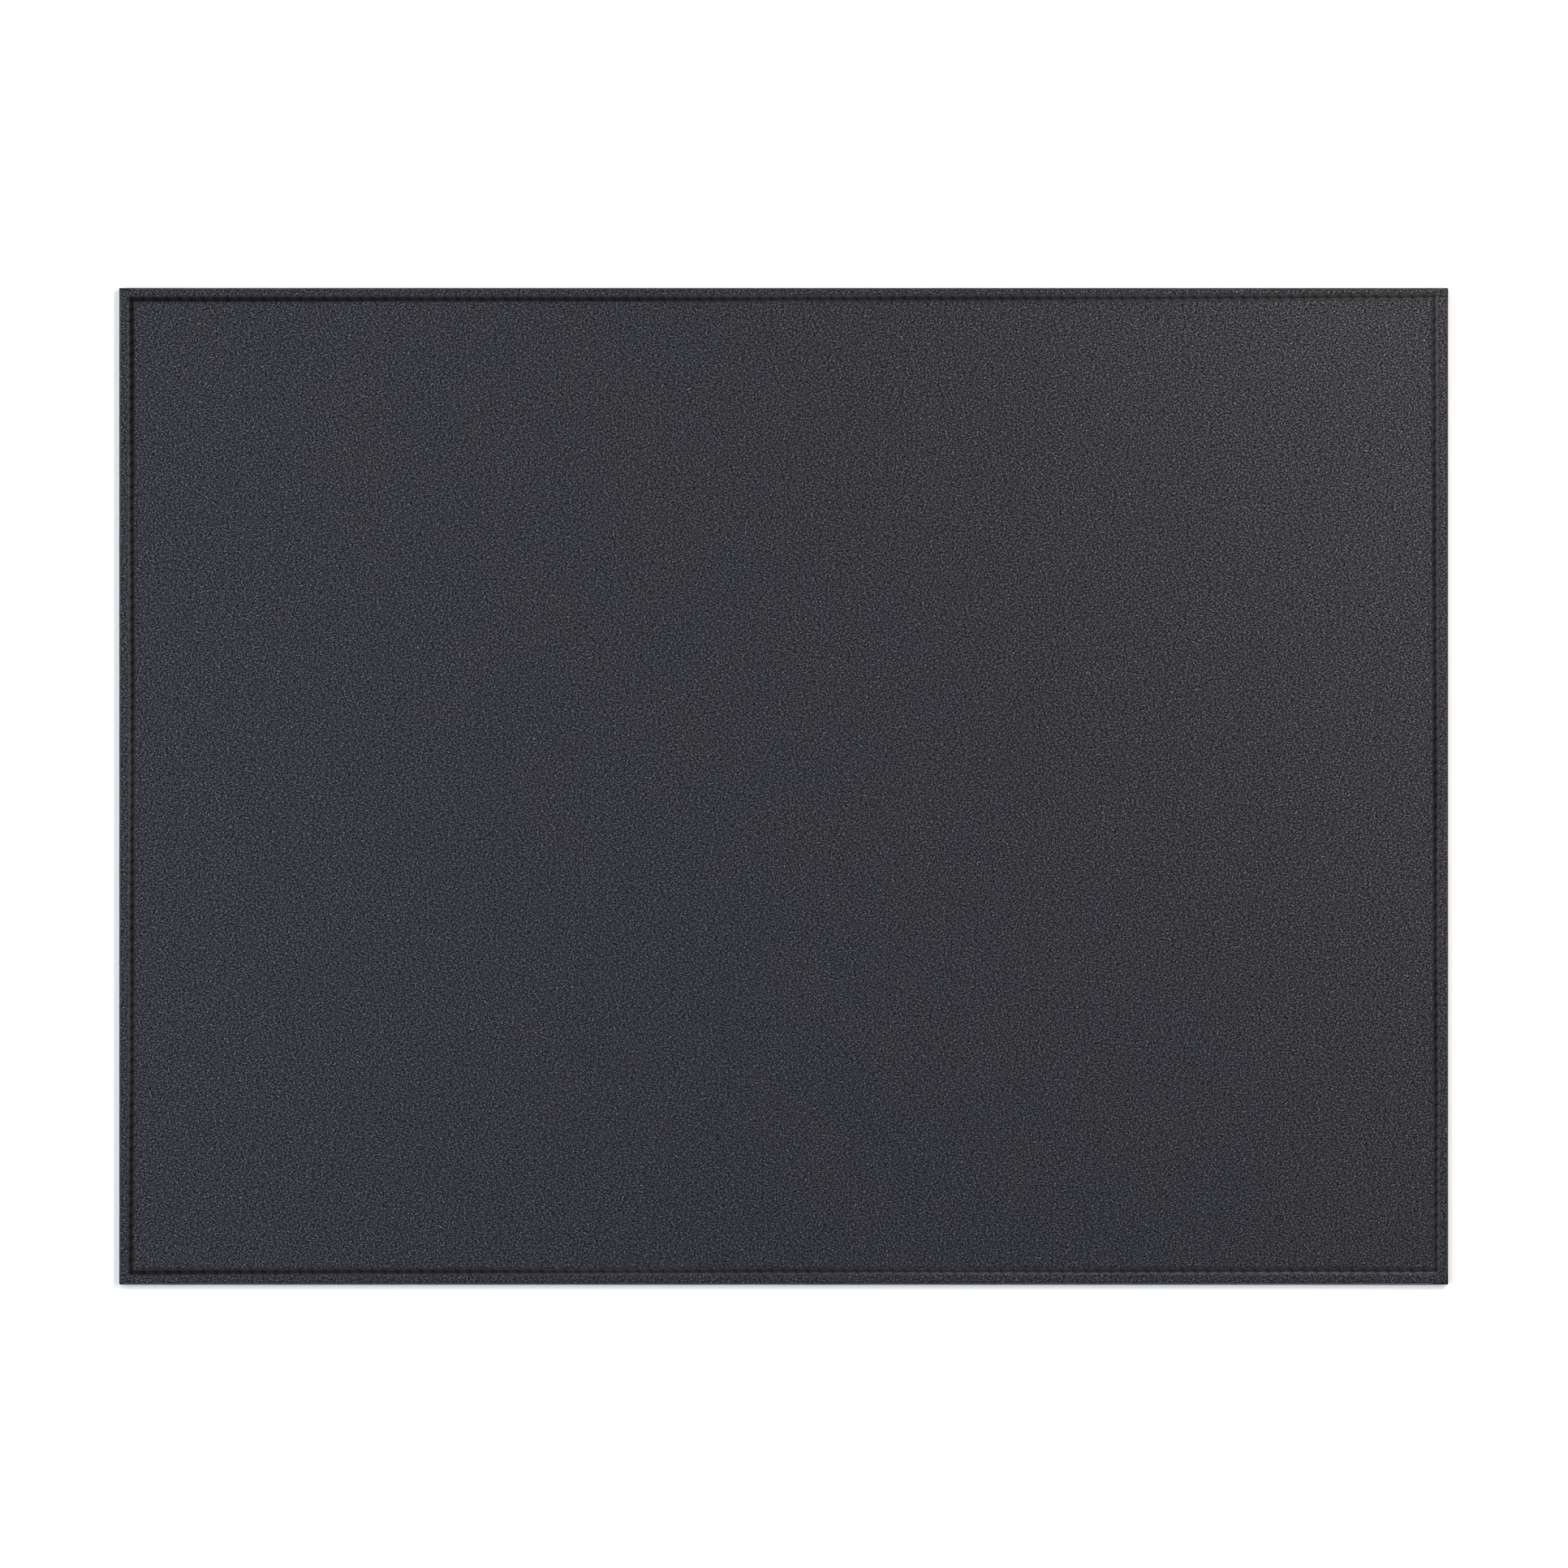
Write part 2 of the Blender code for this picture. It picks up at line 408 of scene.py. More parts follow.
leatherFinish = {
    "coolTone": (0.0590, 0.0650, 0.0920),
    "warmTone": (0.0655, 0.0675, 0.0920),
    # painted shade in the creases of the grain
    "creaseShadeTone": (0.0032, 0.0036, 0.0052),
    # lit and shaded copies of the pressed leather under slack and tight stitches: painted light and shade
    "slackLitTone": (0.0420, 0.0435, 0.0540),
    "tightShadedTone": (0.0115, 0.0110, 0.0130),
    # painted shade down the middle of the sewn channel
    "grooveShadeTone": (0.0045, 0.0042, 0.0045),
    # painted shade in the needle slits
    "slitShadeTone": (0.0015, 0.0013, 0.0013),
    "slackGrooveShade": 0.34,  # how dark the painted shade in the groove is under slack stitches, as a share
    "smoothRange": (0.02, 0.45),  # how hard the seam presses where the grain starts to go and is gone
    "grooveShadeRange": (0.42, 0.98),  # and where the groove's painted shade starts and is darkest
    "sewnGloss": 0.45,
    "lintTone": (0.16, 0.16, 0.17),
    "lintSpacing": 0.030,
    "lintRadius": 0.012,  # as a share of its spacing
    "mottleSize": 0.045,
    "grainSpacing": 0.97 * mm,
    "grainStretch": 1.35,
    "grainSharpness": 2.7,
    "grainDepth": 0.20 * mm,
    "tipGloss": 0.8,  # the finish is thickest on the tips of the grain
    "tipRoughness": 0.44,
    "creaseRoughness": 0.70,
}


def makeLeather(facts):
    material, tree, inputs, place = newMaterial("grainedLeather", Specular_IOR_Level=0.10,
                                                Coat_Roughness=0.42)
    mottle = placeGroup(tree, mottleGroup, place, Size=facts["mottleSize"], First=facts["coolTone"],
                        Second=facts["warmTone"])
    grain = placeGroup(tree, grainGroup, place, Spacing=facts["grainSpacing"], Stretch=facts["grainStretch"],
                       Sharpness=facts["grainSharpness"])
    lint = placeGroup(tree, speckGroup, place, Spacing=facts["lintSpacing"], Radius=facts["lintRadius"])
    sewn = addNode(tree, "ShaderNodeAttribute", attribute_name="sewnPress").outputs["Fac"]
    slit = addNode(tree, "ShaderNodeAttribute", attribute_name="needleSlitShade").outputs["Fac"]
    tip = grain["Tip"]
    # the grain's creases are painted darker as shade
    toned = blendColours(tree, tip, facts["creaseShadeTone"], mottle["Color"])
    tight = addNode(tree, "ShaderNodeAttribute", attribute_name="sewnPullShade").outputs["Fac"]
    # the pressed channel is painted as a lit copy under slack stitches and a shaded copy under tight ones
    smoothLitAndShaded = blendColours(tree, tight, facts["slackLitTone"], facts["tightShadedTone"])
    pressed = blendColours(tree, spread(tree, sewn, *facts["smoothRange"], 0.0, 1.0), toned, smoothLitAndShaded)
    # painted shade down the middle of the channel, weaker under slack stitches
    depth = ramp(tree, tight, 0.0, 1.0, facts["slackGrooveShade"], 1.0)
    groove = workOut(tree, "MULTIPLY", spread(tree, sewn, *facts["grooveShadeRange"], 0.0, 1.0), depth)
    shaded = blendColours(tree, groove, pressed, facts["grooveShadeTone"])
    # the needle slits are painted near black as shade
    slitShaded = blendColours(tree, slit, shaded, facts["slitShadeTone"])
    tree.links.new(blendColours(tree, lint["Speck"], slitShaded, facts["lintTone"]), inputs["Base Color"])
    roughness = ramp(tree, tip, 0.0, 1.0, facts["creaseRoughness"], facts["tipRoughness"])
    tree.links.new(roughness, inputs["Roughness"])
    loose = workOut(tree, "SUBTRACT", 1.0, sewn)
    grainGloss = workOut(tree, "MULTIPLY", workOut(tree, "MULTIPLY", tip, facts["tipGloss"]), loose)
    smoothSewn = workOut(tree, "MULTIPLY", sewn, workOut(tree, "SUBTRACT", 1.0, groove))
    sewnGloss = workOut(tree, "MULTIPLY", smoothSewn, facts["sewnGloss"])
    tree.links.new(workOut(tree, "ADD", grainGloss, sewnGloss), inputs["Coat Weight"])
    addBump(tree, workOut(tree, "MULTIPLY", grain["Height"], loose), facts["grainDepth"], inputs)
    return material


threadFinish = {
    # warm painted sheen for slack stitches
    "slackLitTone": (0.0360, 0.0270, 0.0270),
    "darkTone": (0.0075, 0.0065, 0.0062),
    "fadedTone": (0.0150, 0.0120, 0.0105),
    "plyGapShadeTone": (0.003, 0.003, 0.003),  # painted shade between two plies
    "mottleSize": 0.004,
    "plyRange": (-1.0, 0.6),
    "twistLength": 0.9 * mm,
    "twistDepth": 0.05 * mm,
    "roughness": 0.60,
    "gapRoughness": 0.75,
}


def makeThread(facts):
    material, tree, inputs, place = newMaterial("stitchThread", Specular_IOR_Level=0.12)
    mottle = placeGroup(tree, mottleGroup, place, Size=facts["mottleSize"], First=facts["darkTone"],
                        Second=facts["fadedTone"])
    twist = addNode(tree, "ShaderNodeAttribute", attribute_name="plyTwist").outputs["Vector"]
    parts = addNode(tree, "ShaderNodeSeparateXYZ")
    tree.links.new(twist, parts.inputs["Vector"])
    turn = workOut(tree, "MULTIPLY", parts.outputs["Z"], 2 * math.pi / facts["twistLength"])
    leaning = workOut(tree, "MULTIPLY", workOut(tree, "SINE", turn, 0.0), parts.outputs["X"])
    upright = workOut(tree, "MULTIPLY", workOut(tree, "COSINE", turn, 0.0), parts.outputs["Y"])
    ply = spread(tree, workOut(tree, "ADD", leaning, upright), *facts["plyRange"], 0.0, 1.0)
    tight = addNode(tree, "ShaderNodeAttribute", attribute_name="sewnPullShade").outputs["Fac"]
    # slack stitches are painted a lighter warm brown as sheen; tight ones keep the thread's own dark tones
    toned = blendColours(tree, tight, facts["slackLitTone"], mottle["Color"])
    # the gaps between plies are painted near black as shade
    tree.links.new(blendColours(tree, ply, facts["plyGapShadeTone"], toned), inputs["Base Color"])
    roughness = spread(tree, ply, 0.0, 1.0, facts["gapRoughness"], facts["roughness"])
    tree.links.new(roughness, inputs["Roughness"])
    addBump(tree, ply, facts["twistDepth"], inputs)
    return material


paintFinish = {
    "paintTone": (0.0120, 0.0122, 0.0135),
    "rubbedTone": (0.0200, 0.0200, 0.0220),
    "mottleSize": 0.012,
    "brushSpacing": 0.9 * mm,
    "brushStretch": 2.2,
    "brushDepth": 0.03 * mm,
    "roughness": 0.36,
    "rubbedRoughness": 0.50,
}


def makeEdgePaint(facts):
    material, tree, inputs, place = newMaterial("edgePaint", Specular_IOR_Level=0.45)
    mottle = placeGroup(tree, mottleGroup, place, Size=facts["mottleSize"], First=facts["paintTone"],
                        Second=facts["rubbedTone"])
    brush = placeGroup(tree, fleckGroup, place, Spacing=facts["brushSpacing"], Stretch=facts["brushStretch"])
    tree.links.new(mottle["Color"], inputs["Base Color"])
    roughness = spread(tree, mottle["Cloud"], 0.0, 1.0, facts["roughness"], facts["rubbedRoughness"])
    tree.links.new(roughness, inputs["Roughness"])
    addBump(tree, brush["Height"], facts["brushDepth"], inputs)
    return material


feltFinish = {
    "darkTone": (0.016, 0.016, 0.018),
    "lightTone": (0.030, 0.030, 0.033),
    "mottleSize": 0.008,
    "lintTone": (0.080, 0.080, 0.085),
    "lintSpacing": 0.006,
    "lintRadius": 0.03,  # as a share of its spacing
    "fibreSpacing": 0.55 * mm,
    "fibreStretch": 3.5,
    "fibreDepth": 0.16 * mm,
    "crossTurn": math.radians(64),  # between the two layers of fibres
    # where the painted shade between fibres fades out
    "gapShadeRange": (0.3, 0.9),
    "roughnessRange": (0.2, 0.9),
    "gapRoughness": 1.0,
    "fibreRoughness": 0.85,
}


def makeFelt(facts):
    material, tree, inputs, place = newMaterial("pressedFelt", Specular_IOR_Level=0.2, Sheen_Weight=0.35)
    mottle = placeGroup(tree, mottleGroup, place, Size=facts["mottleSize"], First=facts["darkTone"],
                        Second=facts["lightTone"])
    turned = addNode(tree, "ShaderNodeMapping")
    turned.inputs["Rotation"].default_value = (0, 0, facts["crossTurn"])
    tree.links.new(place, turned.inputs["Vector"])
    fibres = placeGroup(tree, grainGroup, place, Spacing=facts["fibreSpacing"], Stretch=facts["fibreStretch"])
    crossed = placeGroup(tree, grainGroup, turned.outputs["Vector"], Spacing=facts["fibreSpacing"],
                         Stretch=facts["fibreStretch"])
    lint = placeGroup(tree, speckGroup, place, Spacing=facts["lintSpacing"], Radius=facts["lintRadius"])
    matted = workOut(tree, "MAXIMUM", fibres["Height"], crossed["Height"])
    share = spread(tree, matted, *facts["gapShadeRange"], 0.0, 1.0)
    # the gaps between fibres are painted in the dark tone as shade
    toned = blendColours(tree, share, facts["darkTone"], mottle["Color"])
    tree.links.new(blendColours(tree, lint["Speck"], toned, facts["lintTone"]), inputs["Base Color"])
    roughness = spread(tree, matted, *facts["roughnessRange"], facts["gapRoughness"], facts["fibreRoughness"])
    tree.links.new(roughness, inputs["Roughness"])
    addBump(tree, matted, facts["fibreDepth"], inputs)
    return material


foamFinish = {
    "darkTone": (0.045, 0.045, 0.047),
    "lightTone": (0.070, 0.070, 0.072),
    "mottleSize": 0.02,
    "cellSpacing": 0.6 * mm,
    "cellDepth": 0.1 * mm,
    "roughnessRange": (0.2, 0.8),
    "pitRoughness": 0.95,
    "wallRoughness": 0.80,
}


def makeFoam(facts):
    material, tree, inputs, place = newMaterial("closedFoam", Specular_IOR_Level=0.3)
    mottle = placeGroup(tree, mottleGroup, place, Size=facts["mottleSize"], First=facts["darkTone"],
                        Second=facts["lightTone"])
    cells = placeGroup(tree, fleckGroup, place, Spacing=facts["cellSpacing"], Stretch=1.0)
    # the cell pits are painted in the dark tone as shade
    toned = blendColours(tree, cells["CreaseShade"], mottle["Color"], facts["darkTone"])
    tree.links.new(toned, inputs["Base Color"])
    roughness = spread(tree, cells["Height"], *facts["roughnessRange"], facts["pitRoughness"],
                       facts["wallRoughness"])
    tree.links.new(roughness, inputs["Roughness"])
    addBump(tree, cells["Height"], facts["cellDepth"], inputs)
    return material


boardFinish = {
    "darkTone": (0.085, 0.062, 0.042),
    "lightTone": (0.140, 0.105, 0.075),
    "mottleSize": 0.003,
    "fleckSpacing": 0.8 * mm,
    "fleckStretch": 4.0,
    "fleckDepth": 0.05 * mm,
    "roughnessRange": (0.2, 0.8),
    "pitRoughness": 0.95,
    "faceRoughness": 0.82,
}


def makeFibreboard(facts):
    material, tree, inputs, place = newMaterial("brownFibreboard", Specular_IOR_Level=0.3)
    mottle = placeGroup(tree, mottleGroup, place, Size=facts["mottleSize"], First=facts["darkTone"],
                        Second=facts["lightTone"])
    flecks = placeGroup(tree, fleckGroup, place, Spacing=facts["fleckSpacing"], Stretch=facts["fleckStretch"])
    # the pits between flecks are painted in the dark tone as shade
    toned = blendColours(tree, flecks["CreaseShade"], mottle["Color"], facts["darkTone"])
    tree.links.new(toned, inputs["Base Color"])
    roughness = spread(tree, flecks["Height"], *facts["roughnessRange"], facts["pitRoughness"],
                       facts["faceRoughness"])
    tree.links.new(roughness, inputs["Roughness"])
    addBump(tree, flecks["Height"], facts["fleckDepth"], inputs)
    return material


leather = makeLeather(leatherFinish)
thread = makeThread(threadFinish)
edgePaint = makeEdgePaint(paintFinish)
felt = makeFelt(feltFinish)
foam = makeFoam(foamFinish)
fibreboard = makeFibreboard(boardFinish)
print("desk mat: materials made")


# Sheets: slabs cut at every needle hole, and finer beside the seam.

slab = {
    "rimRound": 0.25 * mm,
    "rimSteps": 2,
    "crowding": 1.7,  # above 1, rows move towards the sewn line
    "holeCrowding": 1.35,  # and towards the nearest hole
    "levelNormal": 0.99,  # a face whose normal stands steeper than this is level
    "rounding": 1e-6,  # keeps a row that lies on a hole in the cell that starts there
}


def crowded(value, start, end, pitch, edgeLow, edgeHigh):
    # rows move towards the sewn line, or towards the nearest hole
    if value <= edgeLow or value >= edgeHigh:
        return value
    power = slab["crowding"]
    for line, away, span in (
        (start, -1, start - edgeLow), (start, 1, pitch), (end, -1, pitch), (end, 1, edgeHigh - end)
    ):
        share = (value - line) * away / span
        if 0 <= share <= 1:
            return line + away * span * share ** power
    cell = math.floor((value - start) / pitch + slab["rounding"])
    share = (value - start) / pitch - cell
    nearer = min(share, 1 - share)
    moved = 0.5 * (2 * max(0.0, nearer)) ** slab["holeCrowding"]
    return start + (cell + (moved if share < 0.5 else 1 - moved)) * pitch


def sewnSlab(low, high, shownSide, facts):
    # shownSide is 1 for a sheet seen from above, and -1 from below
    bm = bmesh.new()
    bmesh.ops.create_cube(bm, size=1.0)
    bmesh.ops.scale(bm, vec=high - low, verts=bm.verts)
    bmesh.ops.translate(bm, vec=(low + high) / 2, verts=bm.verts)
    rim = [e for e in bm.edges if all(v.co.z * shownSide > (low.z + high.z) / 2 * shownSide for v in e.verts)]
    bmesh.ops.bevel(bm, geom=rim, offset=slab["rimRound"], segments=slab["rimSteps"], profile=0.5,
                    affect="EDGES", material=-1)
    lines = ((Vector((1, 0, 0)), seamLeft, longPitch, seam["longStitches"]),
             (Vector((0, 1, 0)), seamFront, shortPitch, seam["shortStitches"]))
    for normal, start, pitch, count in lines:
        for index in range(count + 1):
            place = normal * (start + index * pitch)
            bmesh.ops.bisect_plane(bm, geom=everything(bm), dist=cutTolerance, plane_co=place,
                                   plane_no=normal)
    for side, cuts in ((shownSide, facts["shownCuts"]), (-shownSide, facts["hiddenCuts"])):
        border = set()
        for face in bm.faces:
            middle = face.calc_center_median()
            reachX = min(middle.x - seamLeft, seamRight - middle.x) / longPitch
            reachY = min(middle.y - seamFront, seamBack - middle.y) / shortPitch
            if face.normal.z * side > slab["levelNormal"] and min(reachX, reachY) < 1:
                border.update(face.edges)
        bmesh.ops.subdivide_edges(bm, edges=list(border), cuts=cuts, use_grid_fill=True)
    inset = slab["rimRound"]
    for vert in bm.verts:
        vert.co.x = crowded(vert.co.x, seamLeft, seamRight, longPitch, low.x + inset, high.x - inset)
        vert.co.y = crowded(vert.co.y, seamFront, seamBack, shortPitch, low.y + inset, high.y - inset)
    return bm


coverCut = {
    "thickness": 1.0 * mm,
    "shownCuts": 7,
    "hiddenCuts": 3,
    "holeReach": 1.1 * mm,
    "shoulderLoss": 0.6,  # how much of the shoulder is gone beside a hole, as a share
    "slitShadeMask": 1.3,  # above 1, the slit's painted shade is fully dark before its deepest point
    "swell": 0.03 * mm,
    "swellSize": 0.09,
}


def makeCover():
    low = Vector((coverLow.x, coverLow.y, coverHigh.z - coverCut["thickness"]))
    bm = sewnSlab(low, coverHigh, 1, coverCut)
    sewnPress = bm.verts.layers.float.new("sewnPress")
    needleSlitShade = bm.verts.layers.float.new("needleSlitShade")
    sewnPullShade = bm.verts.layers.float.new("sewnPullShade")
    middle = (low.z + coverHigh.z) / 2
    for vert in bm.verts:
        x, y, z = vert.co
        distance, along, across = seamPlace(x, y)
        press = channelShare(distance)
        drop = seam["channelDepth"] * press
        if z > middle:
            pull = pullAt(x, y)
            drop *= seam["slackDepth"] + (1 - seam["slackDepth"]) * pull
            atHole = bell(along, coverCut["holeReach"])
            slit = slitShare(along, across)
            drop *= seam["betweenHoles"] + (1 - seam["betweenHoles"]) * atHole
            drop += seam["slitDepth"] * slit
            rise = bell(abs(distance) - seam["shoulderPlace"], seam["shoulderWidth"])
            rise *= 1 - coverCut["shoulderLoss"] * atHole
            drop -= seam["shoulderHeight"] * rise
            drop += coverCut["swell"] * noise.noise(Vector((x, y, 0)) / coverCut["swellSize"])
            vert[sewnPress] = press
            # mask for the painted shade in the slit
            vert[needleSlitShade] = min(1.0, coverCut["slitShadeMask"] * slit)
            # the pull share, kept for the painted light and shade along the seam
            vert[sewnPullShade] = pull
        vert.co = (*strayed(x, y), z - drop)
    return keepPiece(bm, "leatherCover", leather)


foamCut = {"shownCuts": 3, "hiddenCuts": 1}


def makeFoamSheet():
    bm = sewnSlab(foamLow, foamHigh, 1, foamCut)
    middle = (foamLow.z + foamHigh.z) / 2
    for vert in bm.verts:
        x, y, z = vert.co
        drop = seam["channelDepth"] * channelShare(seamPlace(x, y)[0]) if z > middle else 0.0
        vert.co = (*strayed(x, y), z - drop)
    return keepPiece(bm, "foamSheet", foam)


feltCut = {
    "shownCuts": 6,
    "hiddenCuts": 1,
    "dentHalfWidth": 1.3 * mm,
    "dentFlat": 0.3 * mm,
    "dentDepth": 0.62 * mm,
    "holeReach": 1.0 * mm,
    "betweenHoles": 0.85,
}


def makeFeltBacking():
    bm = sewnSlab(feltLow, feltHigh, -1, feltCut)
    middle = (feltLow.z + feltHigh.z) / 2
    for vert in bm.verts:
        x, y, z = vert.co
        distance, along = seamPlace(x, y)[:2]
        rise = 0.0
        if z < middle:
            dent = 1 - smoothStep(abs(distance), feltCut["dentFlat"], feltCut["dentHalfWidth"])
            rise = feltCut["dentDepth"] * dent
            atHole = bell(along, feltCut["holeReach"])
            rise *= feltCut["betweenHoles"] + (1 - feltCut["betweenHoles"]) * atHole
        vert.co = (*strayed(x, y), z + rise)
    return keepPiece(bm, "feltBacking", felt)


cover = makeCover()
foamSheet = makeFoamSheet()
feltBacking = makeFeltBacking()
print("desk mat: sheets made")


# The sewn threads: one lockstitch after another, each diving into its slit at both ends.

stitchForm = {
    "sides": 6,
    "cuts": (0.05, 0.13, 0.28, 0.72, 0.87, 0.95),
    "taper": 0.30,
    "taperPower": 4,
    "divePower": 7,
    "slack": (-0.03, 0.02),  # mm
    "tilt": (-2.0, 2.0),  # degrees
}
needleStitch = {
    "halfWidth": 0.36 * mm,
    "halfHeight": needleRadius,
    "lean": 0.16 * mm,
    "dive": 0.85 * mm,
    "seed": 5,
}
bobbinStitch = {
    "halfWidth": 0.24 * mm,
    "halfHeight": bobbinRadius,
    "lean": 0.10 * mm,
    "dive": 0.45 * mm,
    "seed": 9,
}


def makeStitchMesh(facts, pitch):
    # one stitch along +X from hole to hole, its top side up
    bm = bmesh.new()
    bmesh.ops.create_cone(bm, cap_ends=True, segments=stitchForm["sides"], radius1=1, radius2=1, depth=1)
    bmesh.ops.rotate(bm, verts=bm.verts, matrix=Matrix.Rotation(math.pi / 2, 3, "Y"))
    bmesh.ops.translate(bm, verts=bm.verts, vec=(0.5, 0, 0))
    for share in stitchForm["cuts"]:
        bmesh.ops.bisect_plane(bm, geom=everything(bm), dist=cutTolerance, plane_co=(share, 0, 0),
                               plane_no=(1, 0, 0))
    twist = bm.verts.layers.float_vector.new("plyTwist")
    for vert in bm.verts:
        share, side, up = vert.co
        vert[twist] = (side, up, share * pitch)
        fromEnd = abs(2 * share - 1)
        taper = 1 - stitchForm["taper"] * fromEnd ** stitchForm["taperPower"]
        vert.co.x = share * pitch
        vert.co.y = side * facts["halfWidth"] * taper + facts["lean"] * (2 * share - 1)
        vert.co.z = up * facts["halfHeight"] * taper - facts["dive"] * fromEnd ** stitchForm["divePower"]
    mesh = bpy.data.meshes.new("oneStitch")
    bm.to_mesh(mesh)
    bm.free()
    return mesh


def sewThread(name, facts, height, upward):
    dice = random.Random(facts["seed"])
    long, short = makeStitchMesh(facts, longPitch), makeStitchMesh(facts, shortPitch)
    sides = (
        ((seamLeft, seamFront), (1, 0), long, longPitch, seam["longStitches"]),
        ((seamRight, seamFront), (0, 1), short, shortPitch, seam["shortStitches"]),
        ((seamRight, seamBack), (-1, 0), long, longPitch, seam["longStitches"]),
        ((seamLeft, seamBack), (0, -1), short, shortPitch, seam["shortStitches"]),
    )
    bm = bmesh.new()
    for (startX, startY), step, mesh, pitch, count in sides:
        ahead = Vector((*step, 0))
        up = Vector((0, 0, upward))
        turn = Matrix((ahead, up.cross(ahead), up)).transposed().to_4x4()
        for index in range(count):
            slack = dice.uniform(*stitchForm["slack"]) * mm
            hole = Vector((startX, startY, height + slack * upward)) + ahead * (index * pitch)
            middle = Matrix.Translation((pitch / 2, 0, 0))
            lean = math.radians(dice.uniform(*stitchForm["tilt"]))
            tilt = middle @ Matrix.Rotation(lean, 4, "Z") @ middle.inverted()
            stitch = mesh.copy()
            stitch.transform(Matrix.Translation(hole) @ turn @ tilt)
            bm.from_mesh(stitch)
            bpy.data.meshes.remove(stitch)
    sewnPullShade = bm.verts.layers.float.new("sewnPullShade")
    for vert in bm.verts:
        # the pull share, kept for the painted sheen and shade on the thread
        vert[sewnPullShade] = pullAt(vert.co.x, vert.co.y)
        vert.co.x, vert.co.y = strayed(vert.co.x, vert.co.y)
    bpy.data.meshes.remove(long)
    bpy.data.meshes.remove(short)
    return keepPiece(bm, name, thread)


needleSeam = sewThread("needleStitches", needleStitch, needleHigh.z - needleRadius, 1)
bobbinSeam = sewThread("bobbinStitches", bobbinStitch, bobbinLow.z + bobbinRadius, -1)
print("desk mat: threads sewn")


# The painted edge: a soft bead round the cut sheets.

bead = {
    "thickness": 0.80 * mm,
    "cornerRound": 0.5 * mm,
    "cornerSteps": 3,
    "step": 9 * mm,
    "levels": (0.04, 0.12, 0.25, 0.38, 0.50, 0.62, 0.75, 0.88, 0.96),
    "shoulderPull": 0.20 * mm,
    "shoulderPower": 5,
    "unevenness": 0.05 * mm,
    "unevenSize": 0.02,
    "plies": 4,  # the cut sheets that show through the paint as faint ribs
    "plyDepth": 0.03 * mm,
    "topOverlap": 0.06 * mm,
}


def makeEdgeBead():
    low = coatLow.copy()
    high = coatHigh + Vector((0, 0, bead["topOverlap"]))
    bm = bmesh.new()
    bmesh.ops.create_cube(bm, size=1.0)
    bmesh.ops.scale(bm, vec=high - low, verts=bm.verts)
    bmesh.ops.translate(bm, vec=(low + high) / 2, verts=bm.verts)
    ends = [f for f in bm.faces if abs(f.normal.z) > 0.5]
    bmesh.ops.delete(bm, geom=ends, context="FACES_ONLY")
    posts = [e for e in bm.edges if abs(e.verts[0].co.z - e.verts[1].co.z) > (high.z - low.z) / 2]
    bmesh.ops.bevel(bm, geom=posts, offset=bead["cornerRound"], segments=bead["cornerSteps"], profile=0.5,
                    affect="EDGES", material=-1)
    for axis in (0, 1):
        normal = Vector((1 - axis, axis, 0))
        count = round((high[axis] - low[axis]) / bead["step"])
        for index in range(1, count):
            place = normal * (low[axis] + (high[axis] - low[axis]) * index / count)
            bmesh.ops.bisect_plane(bm, geom=everything(bm), dist=cutTolerance, plane_co=place,
                                   plane_no=normal)
    for level in bead["levels"]:
        place = (0, 0, low.z + (high.z - low.z) * level)
        bmesh.ops.bisect_plane(bm, geom=everything(bm), dist=cutTolerance, plane_co=place,
                               plane_no=(0, 0, 1))
    bmesh.ops.recalc_face_normals(bm, faces=bm.faces)
    bm.normal_update()
    outward = {v: Vector((v.normal.x, v.normal.y, 0)).normalized() for v in bm.verts}
    for vert, away in outward.items():
        share = (vert.co.z - low.z) / (high.z - low.z)
        pull = bead["shoulderPull"] * abs(2 * share - 1) ** bead["shoulderPower"]
        pull += bead["unevenness"] * (0.5 + 0.5 * noise.noise(vert.co / bead["unevenSize"]))
        pull += bead["plyDepth"] * (0.5 + 0.5 * math.cos(share * 2 * bead["plies"] * math.pi))
        vert.co -= away * pull
    bmesh.ops.solidify(bm, geom=bm.faces[:], thickness=bead["thickness"])
    return keepPiece(bm, "paintedEdge", edgePaint)


paintedEdge = makeEdgeBead()
print("desk mat: edge painted")

replacedNodes = (
    (cover, "top_cover", "grained_leather"),
    (foamSheet, "foam_interlining", "foam"),
    (feltBacking, "backing_sheet", "felt"),
    (needleSeam, "needle_thread", "thread"),
    (bobbinSeam, "bobbin_thread", "thread"),
    (paintedEdge, "edge_coat", "edge_paint"),
)
for piece, node, slotName in replacedNodes:
    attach(piece, "root")
    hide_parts(node)
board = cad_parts["stiffener_board"]
for materialSlot in board.material_slots:
    materialSlot.material = fibreboard

# Floor, light and camera.

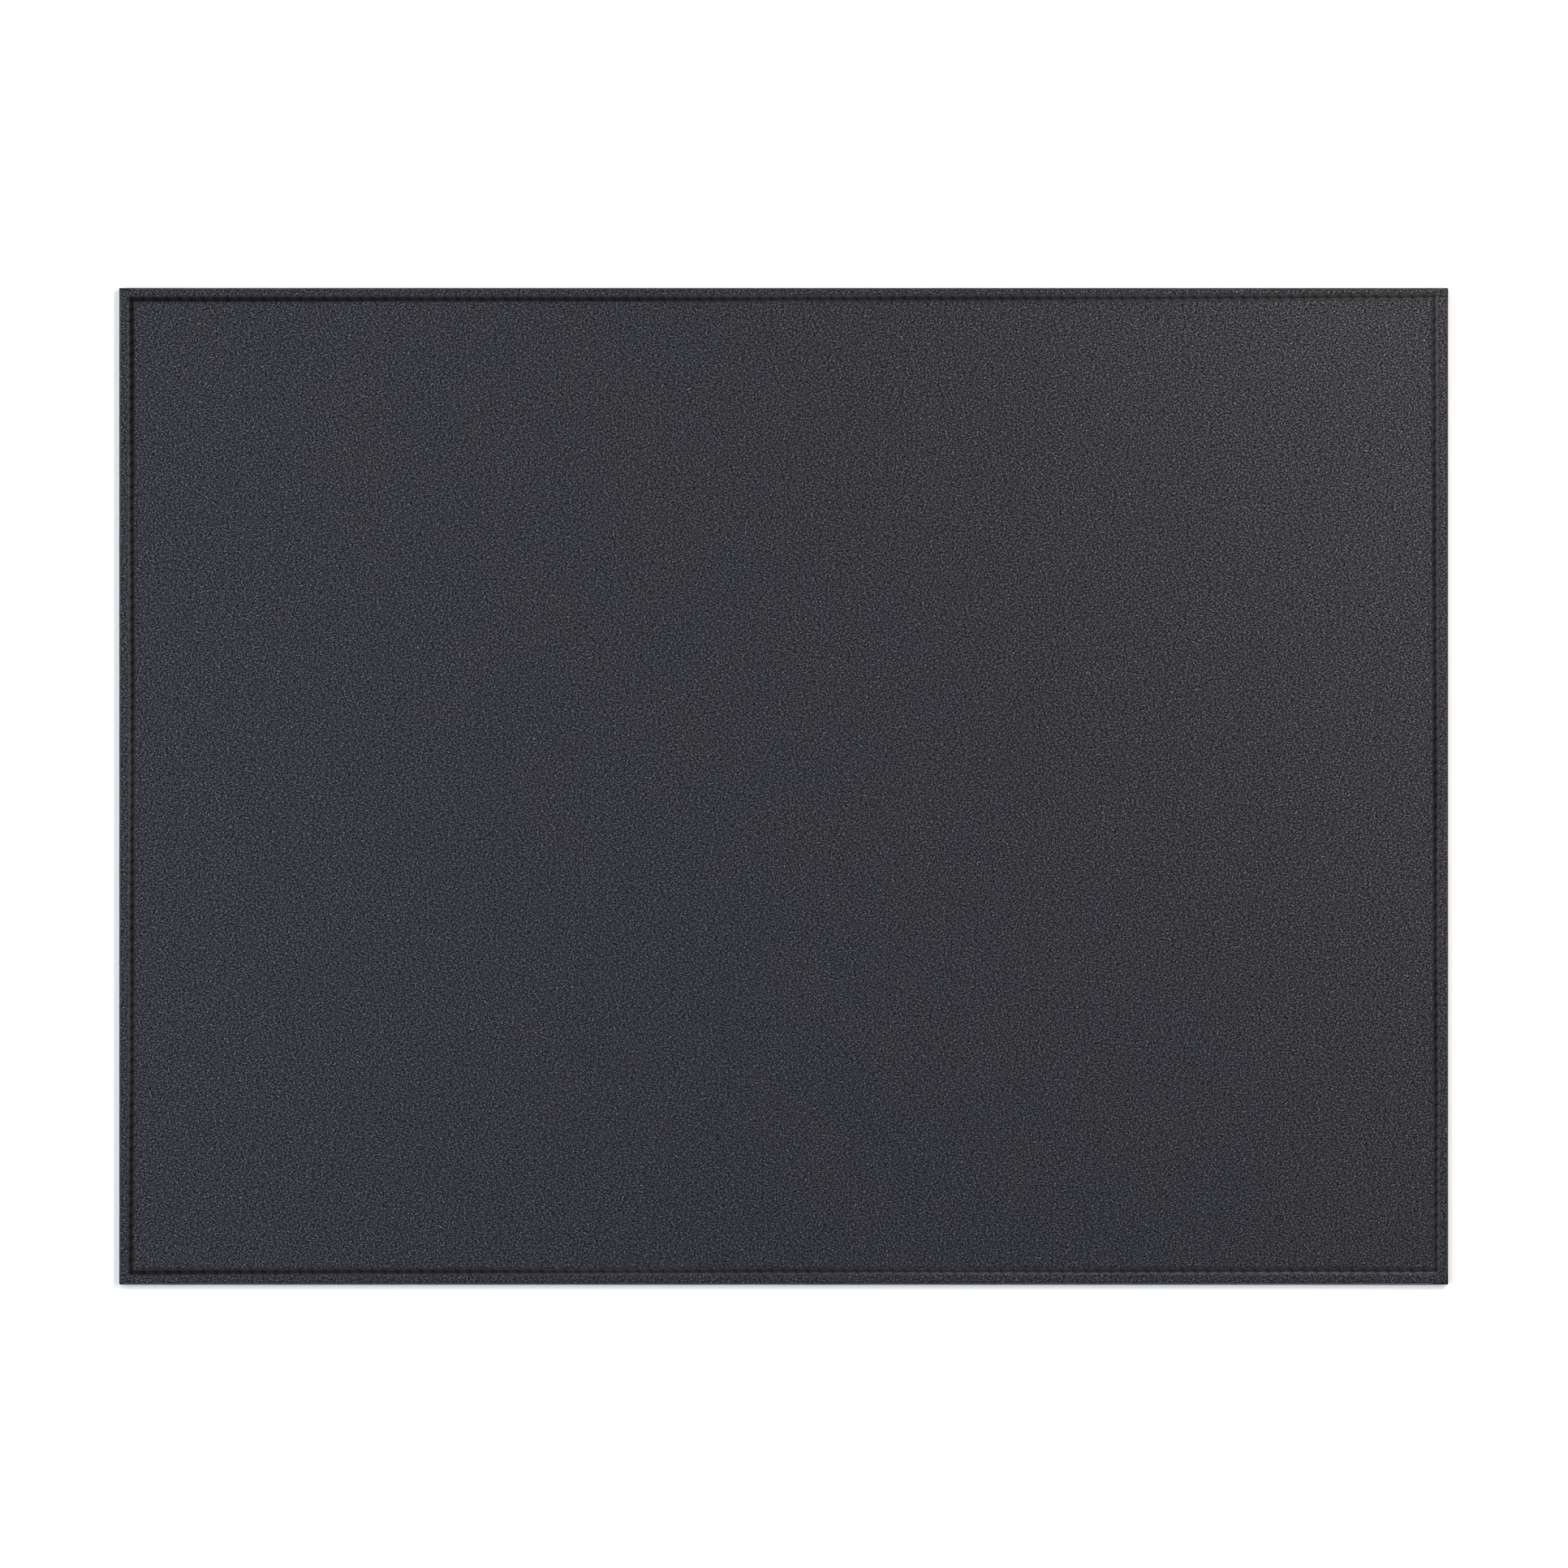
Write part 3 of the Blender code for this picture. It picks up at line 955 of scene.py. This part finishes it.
studio = {
    "floorSize": 14.0,
    "floorTone": (0.90, 0.91, 0.93),
    "skyTone": (1.0, 1.0, 1.0),
    "skyStrength": 0.12,
    # name: turn from +X, height angle, distance, width, power, colour
    "lights": {
        "keyBackRight": (45, 58, 1.5, 0.3, 11.4, (1.0, 0.90, 0.78)),
        "softRight": (0, 58, 1.5, 0.35, 6.6, (1.0, 0.96, 0.92)),
        "softLeft": (180, 58, 1.5, 1.2, 8.6, (0.92, 0.97, 1.0)),
        "softBackLeft": (135, 58, 1.5, 1.0, 5.2, (1.0, 1.0, 1.0)),
        "fillFrontLeft": (225, 58, 1.5, 1.0, 5.0, (0.80, 0.90, 1.0)),
        "fillFrontRight": (315, 58, 1.5, 0.4, 1.5, (1.0, 1.0, 1.0)),
    },
    "cameraPlace": (0.00014, 0.00108, 2.0016),
    "lens": 100,
    "sensor": 36,
}


def makeStudio(facts):
    bm = bmesh.new()
    bmesh.ops.create_grid(bm, x_segments=1, y_segments=1, size=facts["floorSize"] / 2)
    tone = (*facts["floorTone"], 1)
    material = newMaterial("paleFloor", Base_Color=tone, Roughness=0.9, Specular_IOR_Level=0.1)[0]
    keepPiece(bm, "floor", material)
    world = bpy.data.worlds.new("studioSky")
    world.use_nodes = True
    sky = world.node_tree.nodes["Background"]
    setInputs(sky, Color=(*facts["skyTone"], 1), Strength=facts["skyStrength"])
    bpy.context.scene.world = world
    for name, (turn, height, distance, width, power, colour) in facts["lights"].items():
        lamp = bpy.data.lights.new(name, "AREA")
        lamp.shape = "DISK"
        lamp.size = width
        lamp.energy = power
        lamp.color = colour
        up, aside = math.radians(height), math.radians(turn)
        away = Vector((math.cos(up) * math.cos(aside), math.cos(up) * math.sin(aside), math.sin(up)))
        holder = bpy.data.objects.new(name, lamp)
        holder.location = away * distance
        holder.rotation_euler = (-away).to_track_quat("-Z", "Y").to_euler()
        bpy.context.scene.collection.objects.link(holder)
    eye = bpy.data.cameras.new("overheadCamera")
    eye.lens = facts["lens"]
    eye.sensor_width = facts["sensor"]
    camera = bpy.data.objects.new("overheadCamera", eye)
    camera.location = facts["cameraPlace"]
    bpy.context.scene.collection.objects.link(camera)
    bpy.context.scene.camera = camera
    bpy.context.scene.view_settings.view_transform = "Standard"


makeStudio(studio)
print("desk mat: studio lit")
